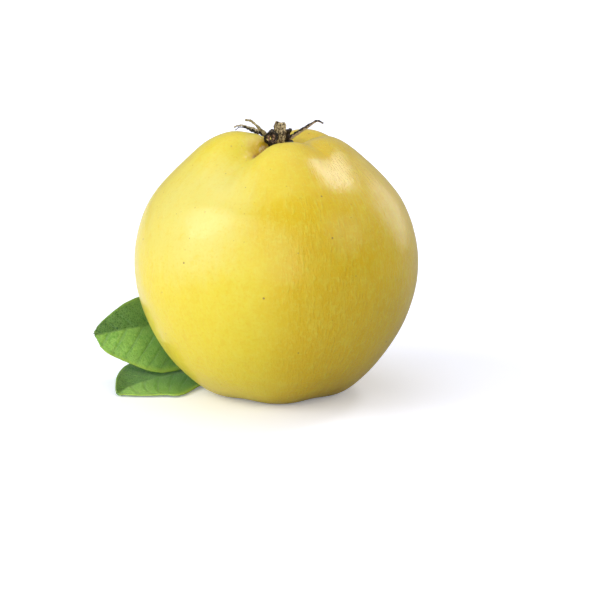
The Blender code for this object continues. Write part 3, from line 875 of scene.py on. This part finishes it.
def make_floor_finish():
    """Pale for the camera. What it throws back at the fruit is bright on the left, as from a
    white card, and dim on the right, as from a grey one."""
    finish, tree, shader = new_finish("pale_floor")
    place = add(tree, "TexCoord").outputs["Object"]
    haze = cloud(tree, place, FLOOR_HAZE, 2.0)
    seen = add(tree, "LightPath").outputs["Is Camera Ray"]
    pale = mix(tree, haze, *FLOOR_SEEN)
    across = add(tree, "SeparateXYZ", {0: place}).outputs["X"]
    card = mix(tree, ramp(tree, across, *CARD_EDGES, *CARD_TONES), (0.0, 0.0, 0.0), WHITE)
    join(tree, shader, "Base Color", mix(tree, seen, card, pale))
    join(tree, shader, "Emission Strength", times(tree, seen, FLOOR_GLOW))
    hold(shader, {"Emission Color": (*WHITE, 1.0), "Roughness": 0.9, "Specular IOR Level": 0.1})
    return finish


# --- Pieces ----------------------------------------------------------------------------------


def make_fruit(frame, finish):
    """The flesh, with a fine crease at the bottom of each furrow. The notes crease, dry and
    warm tell the skin where it changes colour."""
    fruit = copy_of(frame["nodes"]["fruit"])
    refine(fruit)
    eye = middle_of("calyx_tube")
    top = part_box("fruit")[1].z
    places = points_of(fruit)
    away = np.hypot(places[:, 0] - eye.x, places[:, 1] - eye.y)
    direction = np.arctan2(places[:, 1] - eye.y, places[:, 0] - eye.x)
    near_top = rising(top - EYE_BAND[0], top - EYE_BAND[1], places[:, 2])

    # The left lobe closes in on the eye.
    start, full, end = LOBE_EDGE_REACH
    turned = direction - math.radians(LOBE_EDGE_DIRECTION)
    weight = bell(turned, math.radians(LOBE_EDGE_SPREAD)) * near_top
    weight *= rising(start, full, away) * falling(full, end, away)
    press_in(fruit, weigh(fruit, "lobe_edge", weight), -LOBE_EDGE_SHIFT, "X")

    russet = np.zeros(len(places))
    for degrees, reach, depth, width in CREASES:
        turned = (direction - math.radians(degrees) + math.pi) % (2.0 * math.pi) - math.pi
        aside = np.abs(turned) * away
        beside = near_top * (np.abs(turned) <= CREASE_TURN)
        fade = rising(*CREASE_START, away) * falling(*CREASE_FADE, away / reach)
        weight = bell(aside, width * (CREASE_WAIST + CREASE_FLARE * away), 1.5) * fade * beside
        press_in(fruit, weigh(fruit, f"crease_{round(degrees)}", weight), depth)
        stain = bell(aside, STAIN_WIDTH * width) * beside * falling(*STAIN_FADE, away / reach)
        russet = np.maximum(russet, stain * (depth / DEEPEST_CREASE) ** 2)
        if depth == DEEPEST_CREASE:
            dry = bell(aside - DRY_STRIP[0], DRY_STRIP[1]) * near_top * (turned < 0.0)
            dry *= falling(*DRY_END, away)
            warm = bell(aside, WARM_WIDTH) * near_top * (np.abs(turned) < WARM_TURN)
            warm *= falling(*WARM_END, away)
    russet = np.maximum(russet, EYE_STAIN * falling(*EYE_STAIN_END, away) * near_top)
    note(fruit, "crease", russet)
    note(fruit, "dry", dry)
    note(fruit, "warm", warm)
    roughen(fruit, *LUMPS)
    return hand_in(fruit, "fruit", "quince_skin", finish)


def make_tube(frame, finish):
    tube = copy_of(frame["nodes"]["calyx_tube"])
    refine(tube)
    roughen(tube, *TUBE_CRUMPLE)
    return hand_in(tube, "calyx_tube", "dry_dark", finish)


def lay_row(sheet, row, columns, centre, across, along):
    """Turns a cross row, which lies along X at the origin, and moves it to its place."""
    pick_run(sheet, row * columns, (row + 1) * columns - 1)
    face = across.cross(along)
    angles = Matrix((across, along, face)).transposed().to_euler("XYZ")
    for axis, angle in zip("XYZ", angles):
        turn(angle, axis)
    bpy.ops.transform.translate(value=centre)


def new_grid(name, rows, columns):
    """A flat sheet whose cross rows lie along X, from the foot of the piece to its tip."""
    bpy.ops.mesh.primitive_grid_add(
        x_subdivisions=columns - 1, y_subdivisions=rows - 1, size=2.0, calc_uvs=True
    )
    sheet = bpy.context.active_object
    sheet.name = name
    open_up(sheet)
    return sheet


def row_halves(row, columns):
    """The numbers of the first and last point in each half of a cross row."""
    first = row * columns
    middle = first + columns // 2
    return (first, middle - 1), (middle + 1, first + columns - 1)


def narrow_row(sheet, row, rows, columns, widths):
    """Brings a cross row to the origin and gives each half its width."""
    pick_run(sheet, row * columns, (row + 1) * columns - 1)
    start = -1.0 + 2.0 * row / (rows - 1)
    bpy.ops.transform.translate(value=(0.0, -start, 0.0))
    for half, width in zip(row_halves(row, columns), widths):
        pick_run(sheet, *half)
        bpy.ops.transform.resize(value=(width, 1.0, 1.0), center_override=(0.0, 0.0, 0.0))


def fold_row(sheet, row, columns, slopes, curls=(0.0, 0.0)):
    """Folds a cross row at its middle: the first half falls and the second half rises. Each
    half may curl on from there, bit by bit to its edge."""
    halves = row_halves(row, columns)
    for half, slope in zip(halves, slopes):
        pick_run(sheet, *half)
        turn(-slope, "Y")
    middle = halves[0][1] + 1
    for way, edge, curl in ((-1, halves[0][0], curls[0]), (1, halves[1][1], curls[1])):
        for step in range(1, CURL_STEPS) if curl else ():
            hinge = middle + way * round(step * abs(edge - middle) / CURL_STEPS)
            pick_run(sheet, *sorted((hinge + way, edge)))
            turn(-curl / (CURL_STEPS - 1), "Y", hinge_place(sheet, hinge))


def hinge_place(sheet, index):
    mesh = bmesh.from_edit_mesh(sheet.data)
    mesh.verts.ensure_lookup_table()
    return tuple(mesh.verts[index].co)


def heading(line, row):
    """The way a midline runs at this row."""
    before, after = line[max(row - 1, 0)], line[min(row + 1, len(line) - 1)]
    return Vector(after - before).normalized()


def blade_half(share, blade_from, width, outline):
    """How far the blade reaches to one side, in metres, at this share of the midline."""
    if share <= blade_from:
        return STALK_HALF_WIDTH
    blade = (share - blade_from) / (1.0 - blade_from)
    along, across = np.array(outline).T
    reach = width * MM * float(np.interp(blade, along, across))
    return max(reach, STALK_HALF_WIDTH * (1.0 - blade), LEAST_HALF_WIDTH)


def lay_blade(name, leaf, foot):
    """A leaf as a sheet with no thickness, and its length. Each point keeps how far along and
    how far aside it lies, in metres, and how far out, as a share of its half."""
    columns = LEAF_COLUMNS + 1
    sheet = new_grid(name, LEAF_ROWS, columns)
    line = smooth_line(np.array(leaf["midline"]) * MM, LEAF_ROWS, LEAF_CROWDING) + np.array(foot)
    length = np.linalg.norm(np.diff(line, axis=0), axis=1).sum()
    blade_from = leaf["blade_from"]
    across_steps = np.linspace(-1.0, 1.0, columns)
    run, aside = [], []
    for row, centre in enumerate(line):
        share = 1.0 - (1.0 - row / (LEAF_ROWS - 1)) ** LEAF_CROWDING
        opened = float(rising(blade_from + BLADE_OPENS[0], blade_from + BLADE_OPENS[1], share))
        sides = zip(leaf["widths"], leaf["outlines"])
        widths = [blade_half(share, blade_from, *side) for side in sides]
        folds = [along_values(leaf[side], share) for side in ("front_slopes", "back_slopes")]
        slopes = [math.radians(fold) * opened for fold in folds]
        curls = [math.radians(curl) * opened for curl in leaf["curls"]]
        narrow_row(sheet, row, LEAF_ROWS, columns, widths)
        fold_row(sheet, row, columns, slopes, curls)
        along = heading(line, row)
        across = along.cross(Vector((0.0, 0.0, 1.0))).normalized()
        lay_row(sheet, row, columns, Vector(centre), across, along)
        run += [share * length] * columns
        aside += list(across_steps * np.where(across_steps < 0.0, *widths))
    close_up()
    note(sheet, "run", run)
    note(sheet, "aside", aside)
    note(sheet, "out", np.tile(across_steps, LEAF_ROWS))
    return sheet, length


def make_leaf(name, leaf, foot, top_finish, under_finish):
    """A blade folded along its midrib, with sunk veins above and a thick rib below."""
    sheet, length = lay_blade(name, leaf, foot)
    refine(sheet)
    run, aside, out = (read(sheet, kept) for kept in ("run", "aside", "out"))
    far = np.abs(aside)
    share = run / length
    blade = rising(leaf["blade_from"] + VEINS_OPEN[0], leaf["blade_from"] + VEINS_OPEN[1], share)
    groove, ridge = (bell(aside, half_width) for half_width in RIB_HALF_WIDTHS)

    # The side veins lie half a step apart on the two sides, as in the leaf's skin.
    phase = (run - far * (VEIN_SLANT + VEIN_BEND * far)) / VEIN_SPACING
    phase = (phase + 0.5 * (aside > 0.0)) % 1.0
    vein = bell(phase - 0.5, VEIN_WIDTH) * (1.0 - np.abs(out) ** 3) * blade
    rib = groove * (1.0 - RIB_TAPERS[0] * share) * blade
    press_in(sheet, weigh(sheet, "veins", np.maximum(vein, rib)), VEIN_DEPTH)
    for wave in LEAF_WAVES:
        roughen(sheet, *wave)
    stalk = np.maximum(1.0 - blade, ridge * (1.0 - RIB_TAPERS[1] * share))
    reshape(
        sheet,
        "SOLIDIFY",
        thickness=RIB_THICKNESS,
        offset=-1.0,
        vertex_group=weigh(sheet, "ribs", stalk),
        thickness_vertex_group=LEAF_THICKNESS / RIB_THICKNESS,
        material_offset=1,
    )
    return hand_in(sheet, name, "leaf_green", top_finish, under_finish)


def make_sepal(name, sepal, foot, finish, draw):
    """A withered strip with ragged sides, cupped and wrinkled, whose tip may be split."""
    columns = SEPAL_COLUMNS + 1
    sheet = new_grid(name, SEPAL_ROWS, columns)
    line = smooth_line(np.array(sepal["midline"]) * MM, SEPAL_ROWS) + np.array(foot)
    turned = math.radians(sepal["facing"])
    level = Vector((math.sin(turned), -math.cos(turned), 0.0))
    fork_from = SEPAL_ROWS - sepal["forked"]
    for row, centre in enumerate(line):
        share = row / (SEPAL_ROWS - 1)
        half = along_values(sepal["half_widths"], share) * MM
        widths = [half * (1.0 - sepal["ragged"] * draw.random() ** 1.5) for _ in range(2)]
        narrow_row(sheet, row, SEPAL_ROWS, columns, widths)
        fold_row(sheet, row, columns, (SEPAL_FOLD, -SEPAL_FOLD))
        along = heading(line, row)
        across = (level - along * along.dot(level)).normalized()
        across = Quaternion(along, math.radians(sepal["twist"])) @ across
        lay_row(sheet, row, columns, Vector(centre), across, along)
        if row >= fork_from:
            split_row(sheet, row, columns, across, (row - fork_from) / sepal["forked"])
    if sepal["forked"]:
        seam = {row * columns + columns // 2 for row in range(fork_from, SEPAL_ROWS)}
        pick(sheet, lambda point: point.index in seam)
        bpy.ops.mesh.delete(type="VERT")
    close_up()
    refine(sheet)
    roughen(sheet, *SEPAL_WRINKLES)
    reshape(sheet, "SOLIDIFY", thickness=SEPAL_THICKNESS, offset=0.0)
    roughen(sheet, *SEPAL_PITS, "STUCCI")
    return hand_in(sheet, name, "dry_brown", finish)


def split_row(sheet, row, columns, across, share):
    """Draws the two halves of a cross row apart, more towards the tip."""
    for way, half in zip((-1.0, 1.0), row_halves(row, columns)):
        pick_run(sheet, *half)
        bpy.ops.transform.translate(value=way * across * FORK_GAP * share)


def make_threads(frame, finish):
    """Each stamen or style: its packed thread, finer and shrivelled."""
    for name, node in frame["nodes"].items():
        if not name.startswith(THREADS):
            continue
        thread = copy_of(node)
        refine(thread)
        reshape(thread, "DISPLACE", strength=THREAD_SWELL, mid_level=0.0)
        heights = points_of(thread)[:, 2]
        top = heights.max()
        tip = rising(top - TIP_BAND[0], top - TIP_BAND[1], heights)
        press_in(thread, weigh(thread, "tip", tip), -TIP_SWELL)
        roughen(thread, *THREAD_CRUMPLE)
        hand_in(thread, name, "dry_dark", finish)


def make_woody(frame, name, finish, buds=()):
    """A woody piece, swollen under each of its buds so that they sit on it."""
    piece = copy_of(frame["nodes"][name])
    refine(piece)
    places = points_of(piece)
    for bud in buds:
        away = np.linalg.norm(places - np.array(middle_of(bud)), axis=1)
        weight = falling(*CUSHION_EDGE, away)
        press_in(piece, weigh(piece, bud, weight), -CUSHION_HEIGHT)
    roughen(piece, *BARK_GRAIN)
    return hand_in(piece, name, "bark", finish)


# --- Studio ----------------------------------------------------------------------------------


def place_camera(fruit_low, fruit_high):
    middle = (fruit_low + fruit_high) / 2.0
    aim = Vector((middle.x + AIM_FROM_FRUIT[0], middle.y, fruit_high.z + AIM_FROM_FRUIT[1]))
    back = Vector((0.0, -math.cos(CAMERA_ELEVATION), math.sin(CAMERA_ELEVATION)))
    camera = bpy.data.objects.new("camera", bpy.data.cameras.new("camera"))
    camera.data.sensor_width = SENSOR_WIDTH
    camera.data.lens = SENSOR_WIDTH * CAMERA_DISTANCE / VIEW_WIDTH
    camera.data.clip_start = CLIP_START
    camera.location = aim + back * CAMERA_DISTANCE
    camera.rotation_euler = (-back).to_track_quat("-Z", "Y").to_euler()
    bpy.context.scene.collection.objects.link(camera)
    bpy.context.scene.camera = camera


def add_sun(name, towards, strength, spread):
    """A soft light with no edge: it comes from the direction given, spread over many degrees."""
    light = bpy.data.lights.new(name, "SUN")
    light.energy = strength
    light.angle = math.radians(spread)
    sun = bpy.data.objects.new(name, light)
    sun.rotation_euler = Vector(towards).to_track_quat("Z", "Y").to_euler()
    bpy.context.scene.collection.objects.link(sun)


def make_studio():
    bpy.ops.object.select_all(action="DESELECT")
    bpy.ops.mesh.primitive_circle_add(
        vertices=FLOOR_CORNERS, radius=FLOOR_RADIUS, fill_type="NGON"
    )
    floor = bpy.context.active_object
    floor.name = "floor"
    floor.data.materials.append(make_floor_finish())

    world = bpy.data.worlds.new("studio")
    world.use_nodes = True
    tree = world.node_tree
    backdrop = tree.nodes["Background"]
    sky = add(tree, "TexCoord").outputs["Generated"]
    glow = ramp(tree, facing(tree, sky, BRIGHTEST_WALL), -WALL_SPAN, WALL_SPAN, *WALL_GLOW)
    seen = add(tree, "LightPath").outputs["Is Camera Ray"]
    join(tree, backdrop, "Strength", sum_up(tree, "ADD", glow, seen))
    hold(backdrop, {"Color": (*WHITE, 1.0)})
    bpy.context.scene.world = world

    for light in LIGHTS:
        add_sun(*light)
    bpy.context.scene.view_settings.view_transform = "Standard"


def main():
    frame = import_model()
    fruit_low, fruit_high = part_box("fruit")
    place_camera(fruit_low, fruit_high)
    make_studio()

    make_fruit(frame, make_skin(fruit_low, fruit_high))
    threads = make_dry_threads()
    make_tube(frame, threads)
    make_threads(frame, threads)

    dry = {name: make_dry_skin("dry_" + name, **look) for name, look in DRY_SKINS.items()}
    draw = np.random.default_rng(SEPAL_SEED)
    tube_foot = middle_of("calyx_tube")
    tube_foot.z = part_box("calyx_tube")[0].z
    for name, sepal in SEPALS.items():
        make_sepal(name, sepal, tube_foot, dry[sepal["finish"]], draw)

    bark = make_bark()
    for bud in BUDS:
        make_woody(frame, bud, bark)
    make_woody(frame, "shoot", bark, BUDS)

    leaf_skins = [make_leaf_skin(name, **look) for name, look in LEAF_SKINS.items()]
    fruit_foot = middle_of("fruit")
    fruit_foot.z = 0.0
    for name, leaf in LEAVES.items():
        make_leaf(name, leaf, fruit_foot, *leaf_skins)


main()
